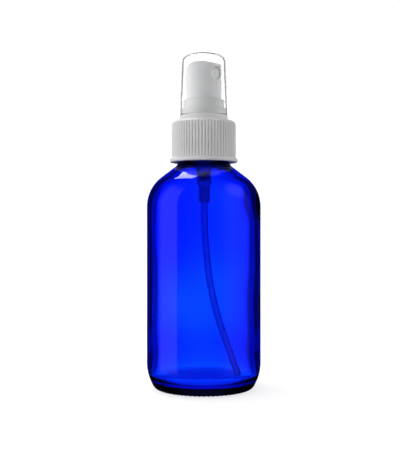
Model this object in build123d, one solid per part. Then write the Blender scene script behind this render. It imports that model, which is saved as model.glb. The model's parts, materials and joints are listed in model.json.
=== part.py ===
from build123d import *

import os
from math import cos, radians, sin, tan

# A pump spray bottle: a blue glass Boston round bottle, a ribbed screw closure, a fine mist pump with its
# dip tube, a press-down actuator with a side nozzle, and a clear overcap.
# Millimetres, +Z up. The origin is the centre of the base, on the surface that the bottle stands on.

# ---- Driving dimensions ----

# Fits and small rounds, shared by all pieces
axial_gap = 0.05               # between faces that move apart
snug = 0.04                    # radial gap of pieces that sit or run in the pump bore
embed = 0.2                    # how deep a ridge is sunk into the piece it is fused to
overshoot = 1.0                # how far a cutter runs past the face it cuts
fine_round = 0.2
soft_round = 0.4

# Bottle body
body_radius = 24.2
glass_wall = 2.2
shoulder_slope = 53.0          # of the shoulder's cone, from the vertical
shoulder_corner = 84.7         # where the wall and the cone would meet if the shoulder weren't rounded
shoulder_round = 15.5
heel_corner = 6.4
heel_round = 19.0
foot_radius = 21.15
foot_height = 0.55
foot_round = 4.0
bearing_outer = 19.6
bearing_inner = 18.6
push_up = 2.1
push_up_edge = 1.6
push_up_radius = 16.9
push_up_round = 1.0
floor_centre = 4.3
floor_edge = 3.5
floor_round = 4.5
grip_notches = 68              # small notches that knurl the bearing ring
notch_radius = 0.45
notch_depth = 0.3
notch_overrun = 1.0

# Bottle neck, a 22-400 finish with an 8 turns per inch thread
neck_root_radius = 11.2
neck_root_top = 95.8
neck_root_round = 2.2
neck_start = 97.2
neck_radius = 9.87
bore_radius = 6.5
bore_round = 4.0
lip_top = 110.0
lip_round = 0.8
thread_pitch = 3.175
thread_turns = 1.15
thread_start = 104.0           # middle of the ridge at its lower end
thread_crest = 10.82
thread_root_width = 1.7
thread_crest_width = 0.8

# Closure
closure_bottom = 95.7
closure_top = 113.2
closure_plate = 1.2
closure_crest = 13.65
closure_valley = 13.05
closure_round = 2.0
closure_taper = 0.1
closure_ribs = 64
flange_radius = 14.4
flange_top = 97.3
skirt_bore = 11.15
skirt_lead_in = 12.3
skirt_lead_in_top = 97.2
closure_hole = 10.25
closure_thread_crest = 10.1

# Turret, the stepped collar that stands through the closure
turret_flange = 11.05
turret_seat_radius = 10.17
turret_seat_top = 115.6
turret_grip_radius = 9.40
turret_grip_top = 118.5
turret_rim_radius = 8.87
turret_rim_top = 122.2
turret_well_radius = 7.87
turret_well_floor = 113.4
stem_hole = 2.10

# Pump
gasket_bottom = lip_top + 0.02
gasket_outer = 10.9
gasket_inner = 6.6
pump_flange_bottom = 111.0
pump_flange_top = 111.8
pump_flange_radius = 9.3
pump_web_bottom = 110.2
plug_radius = 6.2
plug_wall = 0.9
plug_bottom = 107.2
plug_taper = 0.15
pump_radius = 3.4
pump_bore = 2.70
pump_step = 90.8
pump_step_drop = 0.5
chamber_outer = 3.05
chamber_bore = 2.05
ledge = 92.2
seat_bottom = 87.5
seat_hole = 1.05
tail_radius = 2.35
tail_top = 85.4
tail_cone = 1.2
tail_bottom = 78.7
tail_bore = 1.53
tail_depth = 6.0
vent_height = 106.4
vent_radius = 0.4
retainer_height = 0.8
retainer_hole = 1.0
retainer_slot = 0.6
ball_radius = 1.75

# Stem, piston and valve
stem_radius = 1.90
stem_bore = 0.75
stem_top = 127.55
stem_collar_radius = 2.45
stem_collar_bottom = 107.6
stem_collar_top = 108.35
stem_port = 0.35
stem_port_height = 106.1
shank_radius = 1.30
shank_bottom = 102.2
seal_bottom = stem_collar_top + axial_gap
seal_top = 109.4
guide_flange_radius = 4.2
guide_flange_top = 112.5
guide_gap = 0.1
piston_bottom = 101.55
piston_top = 105.6
piston_bore = 1.36
piston_lip_flare = 0.3
piston_lip_rise = 0.3
piston_lip_land = 0.6
pin_bottom = 100.6
pin_flange = 0.5
pin_shoulder_radius = 1.7
pin_shaft_radius = 0.71
pin_top = 105.5
pin_flat_depth = 0.25
return_wire = 0.45
return_spring_radius = 2.1
return_coils = 6
inner_wire = 0.30
inner_spring_radius = 1.85
inner_coils = 3.5

# Dip tube, in the X-Z plane: it hangs straight, then curls towards the heel
tube_radius = 1.50
tube_bore = 0.95
tube_route = [
    (0.0, tail_bottom + tail_depth),
    (0.0, 70.5),
    (0.9, 58.0),
    (2.4, 45.0),
    (5.5, 32.0),
    (9.6, 19.5),
    (14.5, 6.9),
]

# Actuator, with the nozzle turned from +X towards -Y
nozzle_turn = -47.0
actuator_radius = 7.75
actuator_bottom = 118.3
actuator_wall = 1.0
actuator_roof = 129.0
actuator_stock_top = 139.4
socket_outer = 3.0
socket_bottom = 119.2
socket_bore = 1.95
socket_lead_in = 0.4
socket_top = 127.6
saddle_radius = 11.2
saddle_slope = 18.4
saddle_height = 134.9
rim_round = 0.7
rim_start = 130.9
nozzle_height = 132.9
nozzle_hole = 2.85
nozzle_floor = 3.2
nozzle_post = 1.45
nozzle_post_end = 6.0
feed_radius = 0.55
feed_drop = 2.15
insert_radius = 2.80
insert_inner_end = 3.7
insert_face = 6.7
insert_bore = 1.50
orifice_radius = 0.2
dimple_radius = 0.7
dimple_depth = 0.25

# Overcap
overcap_bottom = 115.7
overcap_radius = 10.12
overcap_bore = 9.45
overcap_grip_top = 118.8
overcap_grip_round = 2.0
overcap_wall = 0.7
overcap_corner_radius = 9.28
overcap_corner = 140.37
overcap_round = 2.6
overcap_top = 142.2
dome_radius = 23.0
dome_slope = 18.0              # of the dome where it meets the corner's round
flat_spot = 0.01               # flat radius at the dome's very top

BASE = (Align.CENTER, Align.CENTER, Align.MIN)


# ---- Helpers ----

def turned(points):
    """Solid of revolution about Z. Each point is (radius, height) or (radius, height, corner round)."""
    corners = [point[:2] for point in points]
    rounds = [point[2] if len(point) == 3 else 0 for point in points]
    outline = FilletPolyline(*corners, radius=rounds, close=True)
    return revolve(Plane.XZ * make_face(outline), Axis.Z)


def disc(radius, low, high):
    return Pos(0, 0, low) * Cylinder(radius, high - low, align=BASE)


def ring(outer, inner, low, high):
    return disc(outer, low, high) - disc(inner, low, high)


def rod(radius, start, end, height):
    """Cylinder along +X from start to end, at a height on the Z axis."""
    return Pos(start, 0, height) * Rot(0, 90, 0) * Cylinder(radius, end - start, align=BASE)


def ridge(root, crest, root_width, crest_width, start):
    """Helical thread ridge between two radii, with the middle of its lower end at the height start."""
    path = Helix(thread_pitch, thread_pitch * thread_turns, root)
    section = Polyline(
        (root, -root_width / 2),
        (crest, -crest_width / 2),
        (crest, crest_width / 2),
        (root, root_width / 2),
        close=True,
    )
    return Pos(0, 0, start) * sweep(Plane.XZ * make_face(section), path, is_frenet=True)


def coil_spring(radius, wire, low, high, coils):
    path = Helix((high - low - wire) / coils, high - low - wire, radius)
    section = Pos(radius, 0, 0) * Plane.XZ * Circle(wire / 2)
    return Pos(0, 0, low + wire / 2) * sweep(section, path, is_frenet=True)


# ---- Bottle and closure ----

def bottle():
    cone = tan(radians(shoulder_slope))
    inner_radius = body_radius - glass_wall
    inner_corner = shoulder_corner - glass_wall * tan(radians(shoulder_slope / 2))
    neck_corner = shoulder_corner + (body_radius - neck_root_radius) / cone
    bore_corner = inner_corner + (inner_radius - bore_radius) / cone
    glass = turned([
        (0, push_up),
        (push_up_radius, push_up_edge, push_up_round),
        (bearing_inner, 0),
        (bearing_outer, 0),
        (foot_radius, foot_height, foot_round),
        (body_radius, heel_corner, heel_round),
        (body_radius, shoulder_corner, shoulder_round),
        (neck_root_radius, neck_corner, neck_root_round),
        (neck_root_radius, neck_root_top, fine_round),
        (neck_radius, neck_start, soft_round),
        (neck_radius, lip_top, lip_round),
        (bore_radius, lip_top, lip_round),
        (bore_radius, bore_corner, bore_round),
        (inner_radius, inner_corner, shoulder_round - glass_wall),
        (inner_radius, floor_edge, floor_round),
        (0, floor_centre),
    ])
    glass += ridge(neck_radius - embed, thread_crest, thread_root_width, thread_crest_width, thread_start)
    notch_start = bearing_inner - notch_overrun
    notch_end = bearing_outer + notch_overrun
    notch = rod(notch_radius, notch_start, notch_end, notch_depth - notch_radius)
    step = 360 / grip_notches
    for number in range(grip_notches):
        glass -= Rot(0, 0, (number + 0.5) * step) * notch
    return glass


def closure():
    ribbed = Circle(closure_valley)
    rib = Pos(closure_valley, 0) * Circle(closure_crest - closure_valley)
    step = 360 / closure_ribs
    for number in range(closure_ribs):
        ribbed += Rot(0, 0, number * step) * rib
    shell = Pos(0, 0, closure_bottom) * extrude(ribbed, closure_top - closure_bottom)
    shell &= turned([
        (0, closure_bottom),
        (flange_radius, closure_bottom),
        (closure_crest + closure_taper, closure_top - closure_round),
        (closure_crest, closure_top, closure_round),
        (0, closure_top),
    ])
    shell += turned([
        (0, closure_bottom),
        (flange_radius, closure_bottom, soft_round),
        (flange_radius, flange_top, soft_round),
        (0, flange_top),
    ])
    plate_bottom = closure_top - closure_plate
    shell -= turned([
        (0, closure_bottom - overshoot),
        (skirt_lead_in, closure_bottom - overshoot),
        (skirt_lead_in, closure_bottom),
        (skirt_bore, skirt_lead_in_top),
        (skirt_bore, plate_bottom),
        (0, plate_bottom),
    ])
    shell -= disc(closure_hole, plate_bottom - overshoot, closure_top + overshoot)
    start = thread_start - thread_pitch / 2
    crest = closure_thread_crest
    return shell + ridge(skirt_bore + embed, crest, thread_root_width, thread_crest_width, start)


def turret():
    flange_top_face = closure_top - closure_plate - axial_gap
    return turned([
        (pump_flange_radius + axial_gap, pump_flange_bottom),
        (turret_flange, pump_flange_bottom),
        (turret_flange, flange_top_face),
        (turret_seat_radius, flange_top_face),
        (turret_seat_radius, turret_seat_top, fine_round),
        (turret_grip_radius, turret_seat_top, fine_round),
        (turret_grip_radius, turret_grip_top, fine_round),
        (turret_rim_radius, turret_grip_top, fine_round),
        (turret_rim_radius, turret_rim_top, soft_round),
        (turret_well_radius, turret_rim_top, fine_round),
        (turret_well_radius, turret_well_floor, soft_round),
        (stem_hole, turret_well_floor, fine_round),
        (stem_hole, guide_flange_top),
        (guide_flange_radius + axial_gap, guide_flange_top),
        (guide_flange_radius + axial_gap, pump_flange_top),
        (pump_flange_radius + axial_gap, pump_flange_top),
    ])


def neck_gasket():
    return ring(gasket_outer, gasket_inner, gasket_bottom, pump_flange_bottom)


# ---- Pump ----

def pump_housing():
    body = turned([
        (pump_bore, pump_flange_top),
        (pump_flange_radius, pump_flange_top, fine_round),
        (pump_flange_radius, pump_flange_bottom),
        (plug_radius, pump_flange_bottom),
        (plug_radius - plug_taper, plug_bottom, fine_round),
        (plug_radius - plug_wall, plug_bottom, fine_round),
        (plug_radius - plug_wall, pump_web_bottom, soft_round),
        (pump_radius, pump_web_bottom, soft_round),
        (pump_radius, pump_step, fine_round),
        (chamber_outer, pump_step - pump_step_drop, fine_round),
        (chamber_outer, tail_top + tail_cone, soft_round),
        (tail_radius, tail_top, soft_round),
        (tail_radius, tail_bottom, fine_round),
        (tail_bore, tail_bottom),
        (tail_bore, tail_bottom + tail_depth),
        (seat_hole, tail_bottom + tail_depth),
        (seat_hole, seat_bottom),
        (chamber_bore, seat_bottom + chamber_bore - seat_hole),
        (chamber_bore, ledge),
        (pump_bore, ledge),
    ])
    return body - rod(vent_radius, 0, pump_radius + overshoot, vent_height)


def ball_retainer():
    body = ring(pump_bore - snug, retainer_hole, ledge, ledge + retainer_height)
    slot = Pos(0, 0, ledge) * Box(2 * (chamber_bore - embed), retainer_slot, retainer_height, align=BASE)
    return body - slot - Rot(0, 0, 90) * slot


def ball_rest_height():
    """Height of the ball's centre when it lies on its 45 degree seat."""
    contact_radius = ball_radius * cos(radians(45))
    return seat_bottom + (contact_radius - seat_hole) + ball_radius * sin(radians(45)) + axial_gap


def check_ball():
    return Pos(0, 0, ball_rest_height()) * Sphere(ball_radius)


def return_spring():
    return coil_spring(return_spring_radius, return_wire, ledge + retainer_height, pin_bottom, return_coils)


def stem():
    body = turned([
        (stem_bore, shank_bottom),
        (shank_radius, shank_bottom),
        (shank_radius, stem_collar_bottom),
        (stem_collar_radius, stem_collar_bottom),
        (stem_collar_radius, stem_collar_top),
        (stem_radius, stem_collar_top),
        (stem_radius, stem_top, fine_round),
        (stem_bore, stem_top),
    ])
    return body - rod(stem_port, 0, shank_radius + overshoot, stem_port_height)


def valve_pin():
    body = turned([
        (0, pin_bottom),
        (return_spring_radius + return_wire, pin_bottom, fine_round),
        (return_spring_radius + return_wire, pin_bottom + pin_flange),
        (pin_shoulder_radius, piston_bottom - axial_gap),
        (pin_shaft_radius, piston_bottom - axial_gap),
        (pin_shaft_radius, pin_top, fine_round),
        (0, pin_top),
    ])
    shaft_length = pin_top - piston_bottom + overshoot
    flat = Box(2 * pin_flat_depth, 4 * pin_shaft_radius, shaft_length, align=BASE)
    return body - Pos(pin_shaft_radius, 0, piston_bottom) * flat


def piston():
    lip = pump_bore - snug
    waist = lip - piston_lip_flare
    land_start = piston_lip_rise
    land_end = land_start + piston_lip_land
    lip_end = land_end + piston_lip_rise
    return turned([
        (piston_bore, piston_bottom),
        (waist, piston_bottom),
        (lip, piston_bottom + land_start),
        (lip, piston_bottom + land_end),
        (waist, piston_bottom + lip_end),
        (waist, piston_top - lip_end),
        (lip, piston_top - land_end),
        (lip, piston_top - land_start),
        (waist, piston_top),
        (piston_bore, piston_top),
    ])


def precompression_spring():
    return coil_spring(inner_spring_radius, inner_wire, piston_top, stem_collar_bottom, inner_coils)


def stem_seal():
    return ring(pump_bore - snug, stem_radius + axial_gap, seal_bottom, seal_top)


def stem_guide():
    return turned([
        (stem_radius + guide_gap, seal_top),
        (pump_bore - snug, seal_top),
        (pump_bore - snug, pump_flange_top),
        (guide_flange_radius, pump_flange_top),
        (guide_flange_radius, guide_flange_top),
        (stem_radius + guide_gap, guide_flange_top),
    ])


def dip_tube():
    path = Plane.XZ * FilletPolyline(*tube_route, radius=tube_bends())
    start = Plane(path @ 0, z_dir=path % 0)
    section = start * (Circle(tube_radius) - Circle(tube_bore))
    return sweep(section, path)


def tube_bends():
    """Each bend is as wide as its two runs allow: its ends use this share of the shorter run."""
    share = 0.45
    points = [Vector(*point) for point in tube_route]
    bends = []
    for before, corner, after in zip(points, points[1:], points[2:]):
        turn = (corner - before).get_angle(after - corner)
        shorter = min((corner - before).length, (after - corner).length)
        bends.append(share * shorter / tan(radians(turn / 2)))
    return bends


# ---- Actuator, insert and overcap ----

def saddle_cutter():
    """Long cylinder that hollows the actuator's top along the nozzle's line, low at the back."""
    trough = Pos(0, 0, saddle_radius) * Rot(0, 90, 0) * Cylinder(saddle_radius, 6 * saddle_radius)
    return Pos(0, 0, saddle_height) * Rot(0, -saddle_slope, 0) * trough


def actuator():
    body = disc(actuator_radius, actuator_bottom, actuator_stock_top)
    body -= saddle_cutter()
    rim = body.edges().filter_by(lambda edge: edge.center().Z > rim_start)
    body = fillet(rim, rim_round)
    body -= turned([
        (socket_outer, actuator_bottom - overshoot),
        (actuator_radius - actuator_wall, actuator_bottom - overshoot),
        (actuator_radius - actuator_wall, actuator_roof, soft_round),
        (socket_outer, actuator_roof, soft_round),
    ])
    body -= disc(socket_outer + embed, actuator_bottom - overshoot, socket_bottom)
    body -= turned([
        (0, socket_bottom - overshoot),
        (socket_bore + socket_lead_in, socket_bottom - overshoot),
        (socket_bore + socket_lead_in, socket_bottom),
        (socket_bore, socket_bottom + socket_lead_in),
        (socket_bore, socket_top),
        (0, socket_top),
    ])
    feed_height = nozzle_height - feed_drop
    body -= disc(stem_bore, socket_top - overshoot, feed_height)
    body -= rod(feed_radius, 0, nozzle_floor + overshoot, feed_height)
    nozzle = rod(nozzle_hole, nozzle_floor, actuator_radius + overshoot, nozzle_height)
    body -= nozzle - rod(nozzle_post, nozzle_floor, nozzle_post_end, nozzle_height)
    return Rot(0, 0, nozzle_turn) * body


def orifice_insert():
    body = rod(insert_radius, insert_inner_end, insert_face, nozzle_height)
    body -= rod(insert_bore, insert_inner_end, nozzle_post_end + axial_gap, nozzle_height)
    body -= rod(orifice_radius, insert_inner_end, insert_face + overshoot, nozzle_height)
    dimple = Cone(orifice_radius, dimple_radius, dimple_depth, align=BASE)
    body -= Pos(insert_face - dimple_depth, 0, nozzle_height) * Rot(0, 90, 0) * dimple
    return Rot(0, 0, nozzle_turn) * body


def overcap():
    wall = overcap_wall
    dome_run = dome_radius * tan(radians(dome_slope / 2)) + flat_spot
    inner_run = dome_run - wall * tan(radians(dome_slope / 2))
    corner_drop = wall / cos(radians(dome_slope)) - wall * tan(radians(dome_slope))
    return turned([
        (overcap_bore, overcap_bottom),
        (overcap_radius, overcap_bottom, fine_round),
        (overcap_corner_radius, overcap_corner, overcap_round),
        (dome_run, overcap_top, dome_radius),
        (0, overcap_top),
        (0, overcap_top - wall),
        (inner_run, overcap_top - wall, dome_radius - wall),
        (overcap_corner_radius - wall, overcap_corner - corner_drop, overcap_round - wall),
        (overcap_bore, overcap_grip_top, overcap_grip_round),
    ])


# ---- Output ----

NODES = {
    "bottle": bottle,
    "closure": closure,
    "turret": turret,
    "neck_gasket": neck_gasket,
    "pump_housing": pump_housing,
    "ball_retainer": ball_retainer,
    "check_ball": check_ball,
    "return_spring": return_spring,
    "stem": stem,
    "valve_pin": valve_pin,
    "piston": piston,
    "precompression_spring": precompression_spring,
    "stem_seal": stem_seal,
    "stem_guide": stem_guide,
    "dip_tube": dip_tube,
    "actuator": actuator,
    "orifice_insert": orifice_insert,
    "overcap": overcap,
}

os.makedirs("parts", exist_ok=True)
for node, build in NODES.items():
    export_step(build(), f"parts/{node}.step")
print("dip tube bends:", [round(bend, 1) for bend in tube_bends()])
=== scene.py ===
import json
from math import cos, pi, radians, sin, tan

import bpy
import numpy as np
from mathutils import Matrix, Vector


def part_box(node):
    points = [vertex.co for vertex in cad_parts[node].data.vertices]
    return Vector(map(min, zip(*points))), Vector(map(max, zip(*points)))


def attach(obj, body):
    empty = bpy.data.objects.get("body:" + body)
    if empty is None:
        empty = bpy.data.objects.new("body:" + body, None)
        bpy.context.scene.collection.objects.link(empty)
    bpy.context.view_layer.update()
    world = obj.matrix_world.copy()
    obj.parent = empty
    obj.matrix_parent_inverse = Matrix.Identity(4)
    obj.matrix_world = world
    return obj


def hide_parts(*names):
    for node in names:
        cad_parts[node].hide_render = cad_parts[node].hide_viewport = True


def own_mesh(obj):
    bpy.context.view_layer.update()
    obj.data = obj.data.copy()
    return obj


# A blue glass spray bottle with a white fine mist sprayer and a clear overcap, on a pale studio floor.
# Everything is in metres, in the CAD model's frame: +Z up, the bottle's base on z = 0.
# Outlines and coils are in millimetres until they become meshes.

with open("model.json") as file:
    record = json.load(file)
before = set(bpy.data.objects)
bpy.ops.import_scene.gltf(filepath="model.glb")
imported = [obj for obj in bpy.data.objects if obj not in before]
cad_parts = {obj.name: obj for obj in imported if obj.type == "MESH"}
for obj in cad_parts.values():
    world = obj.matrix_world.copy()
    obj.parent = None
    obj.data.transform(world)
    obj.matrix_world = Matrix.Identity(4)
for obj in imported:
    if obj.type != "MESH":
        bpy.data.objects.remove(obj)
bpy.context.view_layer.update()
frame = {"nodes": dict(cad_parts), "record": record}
MM = 0.001

bottle_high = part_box("bottle")[1]
overcap_low, overcap_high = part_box("overcap")


# ---- Shader graphs ----

# Most of a noise texture's values lie between these.
NOISE_LOW = 0.3
NOISE_HIGH = 0.7


class Graph:
    """A node tree, with a method for each kind of step that the materials and the studio take."""

    def __init__(self, tree):
        self.tree = tree

    def fill(self, node, values):
        """Give a node's inputs numbers, colours or other nodes' outputs."""
        for socket, value in values.items():
            if isinstance(value, bpy.types.NodeSocket):
                self.tree.links.new(value, node.inputs[socket])
            else:
                node.inputs[socket].default_value = value

    def node(self, kind, values):
        node = self.tree.nodes.new(kind)
        self.fill(node, values)
        return node

    def noise(self, scale, detail=3.0, stretch=(1, 1, 1)):
        """A noise texture in the object's own coordinates, at so many features a metre."""
        coordinates = self.node("ShaderNodeTexCoord", {})
        mapping = self.node("ShaderNodeMapping", {"Vector": coordinates.outputs["Object"], "Scale": stretch})
        texture = self.node("ShaderNodeTexNoise", {
            "Vector": mapping.outputs["Vector"],
            "Scale": scale,
            "Detail": detail,
            "Roughness": 0.5,
        })
        return texture.outputs["Fac"]

    def spread(self, source, low, high):
        """A noise, mapped to low..high."""
        node = self.node("ShaderNodeMapRange", {
            "Value": source,
            "From Min": NOISE_LOW,
            "From Max": NOISE_HIGH,
            "To Min": low,
            "To Max": high,
        })
        return node.outputs["Result"]

    def smooth(self, source, start, end, low, high):
        """A smooth step of the source, from low at start to high at end."""
        node = self.node("ShaderNodeMapRange", {
            "Value": source,
            "From Min": start,
            "From Max": end,
            "To Min": low,
            "To Max": high,
        })
        node.interpolation_type = "SMOOTHSTEP"
        return node.outputs["Result"]

    def bump(self, height, depth):
        node = self.node("ShaderNodeBump", {"Height": height, "Strength": 1.0, "Distance": depth})
        return node.outputs["Normal"]

    def ramp(self, source, stops, interpolation="LINEAR"):
        """The colour at the source's place among the stops, which are (position, red, green, blue)."""
        node = self.node("ShaderNodeValToRGB", {"Fac": source})
        node.color_ramp.interpolation = interpolation
        elements = node.color_ramp.elements
        for _ in stops[2:]:
            elements.new(0.5)
        for element, (position, *colour) in zip(elements, stops):
            element.position = position
            element.color = (*colour, 1)
        return node.outputs["Color"]

    def shade(self, source, dark, light):
        """A colour between dark and light, as the noise says."""
        return self.ramp(source, ((NOISE_LOW, *dark), (NOISE_HIGH, *light)))

    def number(self, operation, *values):
        """One arithmetic step on sockets or plain numbers."""
        node = self.node("ShaderNodeMath", dict(enumerate(values)))
        node.operation = operation
        return node.outputs["Value"]

    def pick(self, switch, off, on):
        """off where the switch is 0, on where it is 1. Inputs 0, 2 and 3 are a Mix node's number inputs."""
        return self.node("ShaderNodeMix", {0: switch, 2: off, 3: on}).outputs[0]

    def along(self, vector, direction):
        """How far the vector reaches along a direction."""
        node = self.node("ShaderNodeVectorMath", {0: vector, 1: Vector(direction).normalized()})
        node.operation = "DOT_PRODUCT"
        return node.outputs["Value"]


# ---- Materials ----

def new_material(name):
    material = bpy.data.materials.new(name)
    material.use_nodes = True
    return material, Graph(material.node_tree), material.node_tree.nodes["Principled BSDF"]


def glass_material():
    """Cobalt glass: clear surfaces, and absorption that deepens with the length of the way through it."""
    material, graph, shader = new_material("cobalt_glass")
    graph.fill(shader, {
        "Base Color": (1, 1, 1, 1),
        "Transmission Weight": 1.0,
        "IOR": 1.52,
        "Roughness": 0.0,
        "Normal": graph.bump(graph.noise(55, detail=1.0, stretch=(1, 1, 0.45)), 0.00006),
    })
    absorption = graph.node("ShaderNodeVolumeAbsorption", {"Color": (0.03, 0.53, 0.935, 1), "Density": 2000})
    graph.fill(material.node_tree.nodes["Material Output"], {"Volume": absorption.outputs["Volume"]})
    return material


def clear_material():
    """Polished clear styrene, slightly wavy."""
    material, graph, shader = new_material("clear_plastic")
    graph.fill(shader, {
        "Base Color": (0.985, 0.99, 0.99, 1),
        "Transmission Weight": 1.0,
        "IOR": 1.49,
        "Roughness": 0.0,
        "Normal": graph.bump(graph.noise(120, detail=1.0), 0.000008),
    })
    return material


def plastic_material(name, dark, light, rough, grain=0.00002, subsurface=0.0):
    """Moulded plastic with a fine satin grain and slight variation in colour and gloss."""
    material, graph, shader = new_material(name)
    mottle = graph.noise(160, detail=4.0)
    graph.fill(shader, {
        "Base Color": graph.shade(mottle, dark, light),
        "Roughness": graph.spread(mottle, rough - 0.05, rough + 0.05),
        "IOR": 1.49,
        "Subsurface Weight": subsurface,
        "Subsurface Radius": (1.0, 0.9, 0.8),
        "Subsurface Scale": 0.0015,
        "Normal": graph.bump(graph.noise(5000, detail=2.0), grain),
    })
    return material


def translucent_material(name, colour, rough, index):
    """Natural plastic: light passes, well blurred."""
    material, graph, shader = new_material(name)
    cloud = graph.noise(300)
    dark = tuple(0.96 * channel for channel in colour)
    graph.fill(shader, {
        "Base Color": graph.shade(cloud, dark, colour),
        "Roughness": graph.spread(cloud, rough - 0.05, rough + 0.05),
        "Transmission Weight": 0.95,
        "IOR": index,
        "Normal": graph.bump(graph.noise(2500, detail=2.0), 0.00001),
    })
    return material


def steel_material():
    """Bright spring wire with fine drawing marks."""
    material, graph, shader = new_material("spring_steel")
    drawn = graph.noise(3000)
    graph.fill(shader, {
        "Base Color": graph.shade(drawn, (0.50, 0.50, 0.51), (0.66, 0.66, 0.67)),
        "Roughness": graph.spread(drawn, 0.16, 0.30),
        "Metallic": 1.0,
        "Normal": graph.bump(drawn, 0.000004),
    })
    return material


materials = {
    "cobalt_glass": glass_material(),
    "white_plastic": plastic_material(
        "white_plastic", (0.78, 0.78, 0.79), (0.83, 0.83, 0.835), 0.36, subsurface=0.15),
    "clear_plastic": clear_material(),
    "natural_plastic": translucent_material("natural_plastic", (0.975, 0.98, 0.985), 0.55, 1.32),
    "soft_plastic": translucent_material("soft_plastic", (0.98, 0.98, 0.98), 0.60, 1.30),
    "gasket_foam": plastic_material(
        "gasket_foam", (0.80, 0.80, 0.78), (0.88, 0.88, 0.86), 0.75, grain=0.00006),
    "seal_rubber": plastic_material("seal_rubber", (0.012, 0.012, 0.013), (0.022, 0.022, 0.024), 0.6),
    "steel": steel_material(),
}

for entry in frame["record"]["subparts"]:
    node = frame["nodes"][entry["node"]]
    node.data.materials.clear()
    node.data.materials.append(materials[entry["material_slot"]])


# ---- Meshes ----

def new_piece(name, vertices, faces):
    """A smooth mesh object from vertices in millimetres."""
    mesh = bpy.data.meshes.new(name)
    mesh.from_pydata((vertices * MM).tolist(), [], faces)
    mesh.shade_smooth()
    piece = bpy.data.objects.new(name, mesh)
    bpy.context.scene.collection.objects.link(piece)
    return piece


def rounded(corners, degrees=5.0):
    """An open outline of (radius, height) points, with each (radius, height, round) corner rounded."""
    points = []
    for index, corner in enumerate(corners):
        here = np.array(corner[:2], float)
        if len(corner) == 2:
            points.append(here)
            continue
        before = np.array(corners[index - 1][:2], float) - here
        after = np.array(corners[index + 1][:2], float) - here
        before /= np.linalg.norm(before)
        after /= np.linalg.norm(after)
        half = np.arccos(np.clip(before @ after, -1, 1)) / 2
        tangent = corner[2] / tan(half)
        middle = before + after
        centre = here + middle / np.linalg.norm(middle) * corner[2] / sin(half)
        first = here + before * tangent - centre
        last = here + after * tangent - centre
        sweep = np.arctan2(first[0] * last[1] - first[1] * last[0], first @ last)
        steps = max(2, round(abs(sweep) / radians(degrees)))
        for step in range(steps + 1):
            angle = sweep * step / steps
            turn = np.array([[cos(angle), -sin(angle)], [sin(angle), cos(angle)]])
            points.append(centre + turn @ first)
    return np.array(points)


def divided(points, longest):
    """The outline with extra points, so that no gap is longer than longest(point)."""
    result = [points[0]]
    for start, end in zip(points, points[1:]):
        count = max(1, int(np.ceil(np.linalg.norm(end - start) / longest((start + end) / 2))))
        for step in range(1, count + 1):
            result.append(start + (end - start) * step / count)
    return np.array(result)


def unmoved(r, z, angle):
    return r, z


def turned_piece(name, outline, segments, shape=unmoved):
    """A closed mesh turned from an outline that starts and ends on the axis.
    shape(r, z, angle) moves the points between those two ends."""
    angles = np.arange(segments) * 2 * pi / segments
    inner = outline[1:-1]
    r, angle = np.meshgrid(inner[:, 0], angles, indexing="ij")
    z = np.repeat(inner[:, 1:2], segments, axis=1)
    r, z = shape(r, z, angle)
    grid = np.stack([r * np.cos(angle), r * np.sin(angle), z], axis=-1).reshape(-1, 3)
    rows = len(inner)
    faces = []
    for row in range(rows - 1):
        low = row * segments
        high = low + segments
        for column in range(segments):
            beside = (column + 1) % segments
            faces.append((low + column, low + beside, high + beside, high + column))
    first = len(grid)
    last = first + 1
    top = (rows - 1) * segments
    for column in range(segments):
        beside = (column + 1) % segments
        faces.append((first, beside, column))
        faces.append((last, top + column, top + beside))
    ends = [[0, 0, outline[0, 1]], [0, 0, outline[-1, 1]]]
    return new_piece(name, np.vstack([grid, ends]), faces)


# ---- Bottle ----

BODY_RADIUS = bottle_high.x / MM
LIP = bottle_high.z / MM
WALL = 2.2
SHOULDER_SLOPE = radians(53)
SHOULDER_CORNER = 84.7
SHOULDER_ROUND = 15.5
NECK_ROOT = 11.2
NECK_ROOT_ROUND = 2.2
NECK_STEP_LOW = 95.8
NECK_STEP_LOW_ROUND = 0.4
NECK_STEP_HIGH = 97.2
NECK_STEP_HIGH_ROUND = 1.0
NECK_RADIUS = 9.87
BORE = 6.5
BORE_ROUND = 4.5
LIP_ROUND = 0.9
THREAD_ZONE = 101
THREAD_CREST = 10.82
THREAD_HALF_WIDTH = 0.85
THREAD_FLANK = 0.45
THREAD_PITCH = 3.175
THREAD_TURNS = 1.15
THREAD_START = 104.0
THREAD_FADE = 0.06
PUSH_UP = 2.1
PUSH_UP_RADIUS = 16.9
PUSH_UP_EDGE = 1.6
PUSH_UP_ROUND = 1.6
BEARING_INNER = 18.2
BEARING_INNER_ROUND = 1.0
BEARING_OUTER = 20.0
BEARING_OUTER_ROUND = 1.5
BEARING_HEIGHT = 0.05
HEEL_RADIUS = 21.15
HEEL_BOTTOM = 0.55
HEEL_BOTTOM_ROUND = 3.0
HEEL_TOP = 6.4
HEEL_ROUND = 19.0
FLOOR = 4.3
FLOOR_EDGE = 3.5
FLOOR_ROUND = 4.5
KNURLS = 68
KNURL_DEPTH = 0.32
KNURL_RADIUS = 19.6
KNURL_WIDTH = 1.5
NECK_THICKENING = 0.5
INSET = 0.01
BODY_INSET = 0.045
RIPPLE = 0.012
SEAM = 0.03
SEAM_WIDTH = 0.012
FINE_STEP = 0.22
COARSE_STEP = 1.4

# Stretches of height: low end, high end, and the lengths over which an effect comes in and goes out.
BODY_ZONE = (6, 92, 12, 12)
UNEVEN_ZONE = (7, 93, 8, 10)

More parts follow.
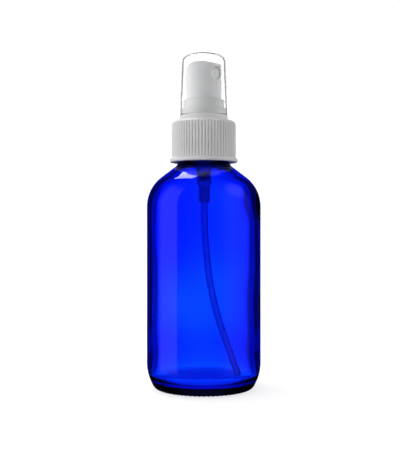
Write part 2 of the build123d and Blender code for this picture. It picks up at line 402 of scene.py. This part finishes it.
# Thicker places of the inner wall: how much, height and reach up and down, then side and width in radians.
SWELLS = (
    (0.8, 79, 6, 0.0, 0.5),
    (0.6, 36, 13, 0.05, 0.7),
    (0.3, 56, 9, 2.6, 0.8),
    (0.8, 76, 20, 1.95, 0.6),
    (0.75, 74, 20, -1.95, 0.6),
)


def bottle_outline():
    """From the middle of the base round the outside and over the lip, then down the inside to the floor."""
    inner = BODY_RADIUS - WALL
    inner_corner = SHOULDER_CORNER - WALL * tan(SHOULDER_SLOPE / 2)
    neck_corner = SHOULDER_CORNER + (BODY_RADIUS - NECK_ROOT) / tan(SHOULDER_SLOPE)
    bore_corner = inner_corner + (inner - BORE) / tan(SHOULDER_SLOPE) - NECK_THICKENING
    points = rounded([
        (0, PUSH_UP),
        (PUSH_UP_RADIUS, PUSH_UP_EDGE, PUSH_UP_ROUND),
        (BEARING_INNER, BEARING_HEIGHT, BEARING_INNER_ROUND),
        (BEARING_OUTER, BEARING_HEIGHT, BEARING_OUTER_ROUND),
        (HEEL_RADIUS, HEEL_BOTTOM, HEEL_BOTTOM_ROUND),
        (BODY_RADIUS, HEEL_TOP, HEEL_ROUND),
        (BODY_RADIUS, SHOULDER_CORNER, SHOULDER_ROUND),
        (NECK_ROOT, neck_corner, NECK_ROOT_ROUND),
        (NECK_ROOT, NECK_STEP_LOW, NECK_STEP_LOW_ROUND),
        (NECK_RADIUS, NECK_STEP_HIGH, NECK_STEP_HIGH_ROUND),
        (NECK_RADIUS, LIP, LIP_ROUND),
        (BORE, LIP, LIP_ROUND),
        (BORE, bore_corner, BORE_ROUND),
        (inner, inner_corner, SHOULDER_ROUND - WALL),
        (inner, FLOOR_EDGE, FLOOR_ROUND),
        (0, FLOOR),
    ])
    return divided(points, bottle_step)


def bottle_step(point):
    """Short steps on the thread, longer ones elsewhere."""
    radius, height = point
    return FINE_STEP if radius > 9 and height > THREAD_ZONE else COARSE_STEP


def lobe(value, centre, width):
    return np.exp(-((value - centre) / width) ** 2)


def round_lobe(angle, centre, width):
    """A lobe on the angle, which wraps round."""
    return np.exp((np.cos(angle - centre) - 1) / width ** 2)


def between(value, low, high, rise, fall):
    """1 well between low and high, going down to 0 at both."""
    return np.clip((value - low) / rise, 0, 1) * np.clip((high - value) / fall, 0, 1)


def body_inset(z, angle):
    """How far the outside lies within the CAD's, with slight ripples and two seams that stand out."""
    ripple = RIPPLE * np.sin(z / 5.3 + 1.3 * np.sin(angle)) * np.sin(2 * angle + z / 17)
    seam = SEAM * lobe(np.sin(angle), 0, SEAM_WIDTH)
    return INSET + between(z, *BODY_ZONE) * (BODY_INSET + ripple - seam)


def thread_ridge(z, angle):
    """The thread's height at each point, as a share of its full height."""
    ridge = np.zeros_like(z)
    for turn in range(3):
        along = angle / (2 * pi) + turn
        middle = THREAD_START + THREAD_PITCH * along
        fade = between(along, 0, THREAD_TURNS, THREAD_FADE, THREAD_FADE)
        flank = np.clip((THREAD_HALF_WIDTH - np.abs(z - middle)) / THREAD_FLANK, 0, 1)
        ridge = np.maximum(ridge, fade * flank * flank * (3 - 2 * flank))
    return ridge


def wall_swell(z, angle):
    """How much thicker the wall is at each point, as in blown glass."""
    swell = 0.25 * np.sin(z / 9.0 + 0.8) * round_lobe(angle, 0.1, 0.9)
    for size, middle, reach, side, width in SWELLS:
        swell += size * lobe(z, middle, reach) * round_lobe(angle, side, width)
    swell += 0.35 * lobe(z, 16, 10)
    swell += 0.06 * np.sin(z / 6.1 + 2.2 * np.cos(angle)) * np.sin(3 * angle + 0.6)
    return swell * between(z, *UNEVEN_ZONE)


def bottle_shape(r, z, angle):
    """Moulded glass: ripples and seams, the thread, the knurled foot, and an uneven inner wall."""
    inside = np.zeros_like(r, bool)
    lip_row = int(np.argmax(z[:, 0]))
    inside[lip_row + 1:] = True
    r = np.where(inside, r, r - body_inset(z, angle))
    neck = ~inside & (z > THREAD_ZONE) & (z < LIP - 1)
    r = np.where(neck, r + (THREAD_CREST - NECK_RADIUS) * thread_ridge(z, angle), r)
    foot = ~inside & (z < 2.0) & (r > 16)
    knurl = 0.5 - 0.5 * np.cos(KNURLS * angle)
    z = np.where(foot, z + KNURL_DEPTH * knurl * lobe(r, KNURL_RADIUS, KNURL_WIDTH), z)
    r = np.where(inside & (r > 12), r - wall_swell(z, angle), r)
    return r, z


bottle = turned_piece("bottle_glass", bottle_outline(), 544, bottle_shape)
bottle.data.materials.append(materials["cobalt_glass"])
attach(bottle, "bottle")
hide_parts("bottle")


# ---- Overcap ----

CAP_TOP = overcap_high.z / MM
CAP_BOTTOM = overcap_low.z / MM
CAP_RADIUS = overcap_high.x / MM - 0.005
CAP_WALL = 0.7
CAP_DOME = 23.0
CAP_DOME_SLOPE = radians(18)
CAP_CORNER_RADIUS = 9.28
CAP_CORNER_HEIGHT = 140.37
CAP_CORNER_ROUND = 2.6
GRIP_RADIUS = 9.45
GRIP_TOP = 118.8
GRIP_ROUND = 2.0
CAP_STEP = 1.5


def overcap_outline():
    """From the middle of the dome's inside down to the lower edge, then up the outside."""
    run = CAP_DOME * tan(CAP_DOME_SLOPE / 2) + 0.01
    inner_run = run - CAP_WALL * tan(CAP_DOME_SLOPE / 2)
    drop = CAP_WALL / cos(CAP_DOME_SLOPE) - CAP_WALL * tan(CAP_DOME_SLOPE)
    points = rounded([
        (0, CAP_TOP - CAP_WALL),
        (inner_run, CAP_TOP - CAP_WALL, CAP_DOME - CAP_WALL),
        (CAP_CORNER_RADIUS - CAP_WALL, CAP_CORNER_HEIGHT - drop, CAP_CORNER_ROUND - CAP_WALL),
        (GRIP_RADIUS, GRIP_TOP, GRIP_ROUND),
        (GRIP_RADIUS, CAP_BOTTOM, 0.15),
        (CAP_RADIUS, CAP_BOTTOM, 0.25),
        (CAP_CORNER_RADIUS, CAP_CORNER_HEIGHT, CAP_CORNER_ROUND),
        (run, CAP_TOP, CAP_DOME),
        (0, CAP_TOP),
    ], degrees=3.0)
    return divided(points, lambda point: CAP_STEP)


overcap = turned_piece("overcap_clear", overcap_outline(), 256)
overcap.data.materials.append(materials["clear_plastic"])
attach(overcap, "overcap")
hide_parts("overcap")


# ---- Springs ----

# Wire thickness and number of turns.
SPRINGS = {"return_spring": (0.45, 6.0), "precompression_spring": (0.30, 3.5)}
STEPS_PER_TURN = 40
WIRE_SIDES = 12
CLOSED_PITCH = 1.08
SPRING_INSET = 0.02


def coil_line(radius, wire, turns, low, high):
    """The wire's middle line from low to high, with its end turns closed up, and its angle at each point."""
    closed = min(1.0, turns / 4)
    rise = CLOSED_PITCH * wire * closed
    span = high - low - wire
    turn = np.linspace(0, turns, round(turns * STEPS_PER_TURN) + 1)
    climb = np.interp(turn, [0, closed, turns - closed, turns], [0, rise, span - rise, span])
    angle = 2 * pi * turn
    height = low + wire / 2 + climb
    return np.stack([radius * np.cos(angle), radius * np.sin(angle), height], axis=-1), angle


def coil(name, radius, wire, turns, low, high):
    """A coiled wire with flat ends, kept between low and high."""
    line, angle = coil_line(radius, wire, turns, low, high)
    outward = np.stack([np.cos(angle), np.sin(angle), np.zeros_like(angle)], axis=-1)
    onward = np.gradient(line, axis=0)
    onward /= np.linalg.norm(onward, axis=1)[:, None]
    upward = np.cross(outward, onward)
    sides = []
    for side in range(WIRE_SIDES):
        way = 2 * pi * side / WIRE_SIDES
        sides.append(line + wire / 2 * (cos(way) * outward + sin(way) * upward))
    grid = np.stack(sides, axis=1)
    grid[..., 2] = np.clip(grid[..., 2], low, high)
    faces = []
    for ring in range(len(line) - 1):
        here = ring * WIRE_SIDES
        ahead = here + WIRE_SIDES
        for side in range(WIRE_SIDES):
            beside = (side + 1) % WIRE_SIDES
            faces.append((here + beside, here + side, ahead + side, ahead + beside))
    faces.append(tuple(range(WIRE_SIDES)))
    faces.append(tuple(reversed(range((len(line) - 1) * WIRE_SIDES, len(line) * WIRE_SIDES))))
    return new_piece(name, grid.reshape(-1, 3), faces)


def body_of(node):
    bodies = frame["record"]["behaviour"]["bodies"]
    return next(body for body, nodes in bodies.items() if node in nodes)


def build_spring(node):
    """A coiled steel wire in place of the CAD spring, between the same heights, on the body that holds it.
    """
    wire, turns = SPRINGS[node]
    low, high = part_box(node)
    radius = high.x / MM - wire / 2 - SPRING_INSET
    spring = coil(node + "_wire", radius, wire, turns, low.z / MM, high.z / MM)
    spring.data.materials.append(materials["steel"])
    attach(spring, body_of(node))
    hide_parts(node)
    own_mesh(spring)


for joint in frame["record"]["behaviour"]["joints"]:
    for entry in joint.get("deforming_nodes", []):
        build_spring(entry["node"])


# ---- Studio ----

# Brightness that is seen through glass, at each share of the direction that points along +Y.
GLOW = 4.0
ROOM_ALONG_Y = (
    (-1.0, 0.50),
    (0.0, 0.70),
    (0.55, 0.60),
    (0.77, 0.25),
    (0.92, 0.30),
    (0.962, 0.90),
    (0.984, GLOW),
)
HIGH_GLOW = 2.2                       # the most that is seen in high directions
UNDER_GLOW = 1.6                      # seen in low directions, where the table is
CLEAR = 0.95                          # the least that is seen through both walls of a hollow piece
BACKDROP = 1.1                        # the background itself

# Smooth steps in a direction's part along one axis: start, end, value before, value after.
HIGH = (0.10, 0.25, 0, 1)
UNDER = (-0.30, -0.14, 1, 0)
SOFT_BEHIND = (-0.30, 0.50, 0.10, 1.15)
SOFT_LEFT = (-0.62, -0.02, 1.75, 0.08)
SOFT_RIGHT = (0.62, 0.92, 0.08, 1.90)
PANEL_TOP = (0.60, 0.85, 1, 0)
PANEL_BOTTOM = (-0.40, -0.18, 0, 1)

# Counts of surfaces that a ray has met: four clear ones, and the first matt one.
TWO_WALLS = 3.5
FIRST_MATT = 0.5

# The soft light, as it reaches matt surfaces through glass.
INSIDE = 1.35
INSIDE_LEAST = 0.10

# Panels that surfaces mirror: brightness, then the turns from the front, in degrees, of its two soft edges.
PANELS = (
    (0.42, (-110, -88), (-57, -52)),
    (0.13, (25, 60), (92, 112)),
)
MIRROR_FRONT = 0.03
MIRROR_BACK = 0.006
PATCH_TOWARDS = (0.78, -0.11, 0.61)
PATCH = 0.35
PATCH_RIM = radians(24)
PATCH_CORE = radians(6)

FLOOR_HALF = 3.0
FLOOR_LEVEL = -0.0001
FLOOR_GLOW = 0.72
LAMP_PLACE = (-0.17, 0.19, 0.62)
LAMP_AIM = (-0.007, -0.016, 0.09)
CAMERA_PLACE = (-0.0016, -0.344, 0.0691)


def seen_room(graph, x, y, z):
    """What glass shows of the studio: a narrow glow straight behind, darker sides and a pale table."""
    level = graph.number("SQRT", graph.number("ADD", graph.number("MULTIPLY", x, x),
                                              graph.number("MULTIPLY", y, y)))
    facing = graph.number("DIVIDE", y, level)
    stops = []
    for share, brightness in ROOM_ALONG_Y:
        stops.append(((share + 1) / 2, *[brightness / GLOW] * 3))
    colour = graph.ramp(graph.number("MULTIPLY_ADD", facing, 0.5, 0.5), stops, "EASE")
    seen = graph.number("MULTIPLY", colour, GLOW)
    seen = graph.pick(graph.smooth(z, *HIGH), seen, graph.number("MINIMUM", seen, HIGH_GLOW))
    return graph.pick(graph.smooth(z, *UNDER), seen, UNDER_GLOW)


def mirror_room(graph, x, y, z):
    """What surfaces mirror: a dark studio with two tall panels, one on each side of the camera."""
    turn = graph.number("ARCTAN2", x, graph.number("MULTIPLY", y, -1))
    shown = []
    for brightness, fade_in, fade_out in PANELS:
        start = graph.smooth(turn, *map(radians, fade_in), 0, brightness)
        shown.append(graph.number("MULTIPLY", start, graph.smooth(turn, *map(radians, fade_out), 1, 0)))
    tall = graph.number("MULTIPLY", graph.smooth(z, *PANEL_TOP), graph.smooth(z, *PANEL_BOTTOM))
    panels = graph.number("MULTIPLY", graph.number("ADD", *shown), tall)
    side = graph.number("ABSOLUTE", turn)
    rest = graph.smooth(side, radians(60), radians(110), MIRROR_FRONT, MIRROR_BACK)
    return graph.number("ADD", panels, rest)


def soft_room(graph, x, y):
    """What lights matt surfaces: strips on the left and right, and a wide sheet behind."""
    sides = graph.number("MAXIMUM", graph.smooth(x, *SOFT_LEFT), graph.smooth(x, *SOFT_RIGHT))
    return graph.number("MAXIMUM", graph.smooth(y, *SOFT_BEHIND), sides)


def world_strength(graph, direction):
    """The brightness for each kind of ray: seen, seen through glass, mirrored, or lighting a surface."""
    split = graph.node("ShaderNodeSeparateXYZ", {"Vector": direction})
    x, y, z = (split.outputs[axis] for axis in "XYZ")
    path = graph.node("ShaderNodeLightPath", {}).outputs
    passed = path["Is Transmission Ray"]
    not_passed = graph.number("SUBTRACT", 1, passed)
    soft = soft_room(graph, x, y)
    patch = graph.smooth(graph.along(direction, PATCH_TOWARDS), cos(PATCH_RIM), cos(PATCH_CORE), 0, PATCH)
    mirror = graph.number("ADD", mirror_room(graph, x, y, z), patch)
    inside = graph.number("MULTIPLY_ADD", soft, INSIDE, INSIDE_LEAST)
    both_walls = graph.number("GREATER_THAN", path["Transmission Depth"], TWO_WALLS)
    seen = graph.number("MAXIMUM", seen_room(graph, x, y, z), graph.number("MULTIPLY", both_walls, CLEAR))
    to_camera = graph.number("LESS_THAN", path["Diffuse Depth"], FIRST_MATT)
    strength = graph.pick(graph.number("MULTIPLY", path["Is Glossy Ray"], not_passed), soft, mirror)
    strength = graph.pick(passed, strength, inside)
    strength = graph.pick(graph.number("MULTIPLY", passed, to_camera), strength, seen)
    return graph.pick(path["Is Camera Ray"], strength, BACKDROP)


def build_world():
    """White to look at, bright behind glass, softer on plastic, and dark in mirrors but for the panels."""
    world = bpy.data.worlds.new("studio")
    bpy.context.scene.world = world
    world.use_nodes = True
    graph = Graph(world.node_tree)
    direction = graph.node("ShaderNodeTexCoord", {}).outputs["Generated"]
    graph.fill(world.node_tree.nodes["Background"], {
        "Color": (1, 1, 1, 1),
        "Strength": world_strength(graph, direction),
    })


def floor_material():
    """Pale, and burnt out to white where the camera looks at it."""
    material, graph, shader = new_material("studio_floor")
    path = graph.node("ShaderNodeLightPath", {}).outputs
    graph.fill(shader, {
        "Base Color": graph.shade(graph.noise(6), (0.41, 0.41, 0.41), (0.43, 0.43, 0.43)),
        "Roughness": 0.8,
        "Specular IOR Level": 0.1,
        "Emission Color": (1, 1, 1, 1),
        "Emission Strength": graph.number("MULTIPLY", path["Is Camera Ray"], FLOOR_GLOW),
    })
    return material


def build_floor():
    """The floor isn't seen through glass or in mirrors, which show the room in its place."""
    mesh = bpy.data.meshes.new("floor")
    corners = [(FLOOR_HALF * x, FLOOR_HALF * y, 0) for x, y in ((-1, -1), (1, -1), (1, 1), (-1, 1))]
    mesh.from_pydata(corners, [], [(0, 1, 2, 3)])
    mesh.materials.append(floor_material())
    floor = bpy.data.objects.new("floor", mesh)
    bpy.context.scene.collection.objects.link(floor)
    floor.location.z = FLOOR_LEVEL
    floor.visible_transmission = False
    floor.visible_glossy = False


def build_lamp():
    """A softbox above and behind, which puts the highlight on the bottle's shoulder."""
    light = bpy.data.lights.new("top_softbox", "AREA")
    light.shape = "RECTANGLE"
    light.size = 0.16
    light.size_y = 0.26
    light.energy = 0.8
    lamp = bpy.data.objects.new("top_softbox", light)
    bpy.context.scene.collection.objects.link(lamp)
    lamp.location = LAMP_PLACE
    lamp.rotation_euler = (Vector(LAMP_AIM) - Vector(LAMP_PLACE)).to_track_quat("-Z", "Y").to_euler()
    lamp.visible_camera = False
    lamp.visible_transmission = False


def build_camera():
    """Level, at about the height of the bottle's middle, a little to the left of its axis."""
    camera = bpy.data.cameras.new("camera")
    camera.lens = 64.6
    camera.sensor_width = 36
    camera.clip_start = 0.01
    viewer = bpy.data.objects.new("camera", camera)
    bpy.context.scene.collection.objects.link(viewer)
    viewer.location = CAMERA_PLACE
    viewer.rotation_euler = (radians(90), 0, 0)
    bpy.context.scene.camera = viewer


build_floor()
build_world()
build_lamp()
build_camera()
bpy.context.scene.view_settings.view_transform = "Standard"
